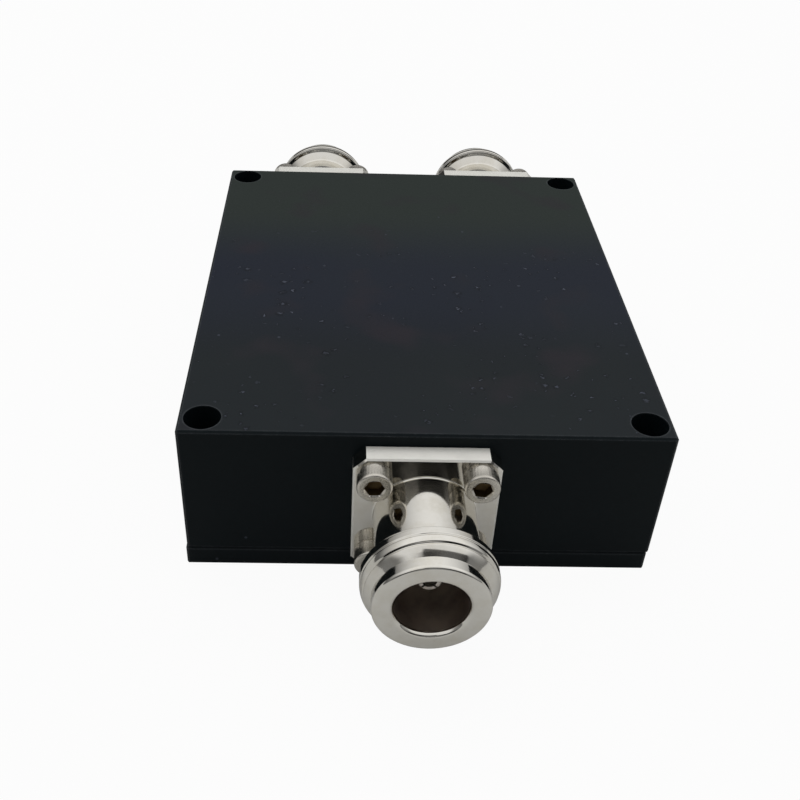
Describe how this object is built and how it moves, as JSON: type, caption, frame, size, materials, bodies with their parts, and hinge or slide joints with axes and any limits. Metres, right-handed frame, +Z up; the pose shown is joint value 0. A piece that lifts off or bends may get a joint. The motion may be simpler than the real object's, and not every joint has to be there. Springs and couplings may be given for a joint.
{
  "type": "rf power splitter",
  "caption": "Flat black metal radio-frequency power splitter with one coaxial flange connector at the front, a pair at the back and through holes at its corners.",
  "frame": {"origin": "middle of the bottom cover's underside, on the surface that the part stands on", "axes": "+Z up through the top face, -Y out of the input connector, +Y out of the two output connectors, +X to the right when the input faces the viewer"},
  "size_m": [0.0592, 0.1058, 0.022],
  "materials": {
    "black_anodised": "satin",
    "nickel_plate": "polished",
    "insulator": "satin",
    "contact": "satin",
    "screw_steel": "satin",
    "board": "matte",
    "copper": "satin",
    "resistor": "satin",
    "solder": "satin"
  },
  "bodies": {
    "root": {"housing": "black_anodised", "bottom_cover": "black_anodised", "cover_screws": "screw_steel", "input_shell": "nickel_plate", "input_insulator": "insulator", "input_contact": "contact", "input_screws": "screw_steel", "left_output_shell": "nickel_plate", "left_output_insulator": "insulator", "left_output_contact": "contact", "left_output_screws": "screw_steel", "right_output_shell": "nickel_plate", "right_output_insulator": "insulator", "right_output_contact": "contact", "right_output_screws": "screw_steel", "circuit_board": "board", "divider_track": "copper", "isolation_resistors": "resistor", "resistor_terminals": "solder", "board_screws": "screw_steel", "solder_fillets": "solder"}
  },
  "joints": []
}
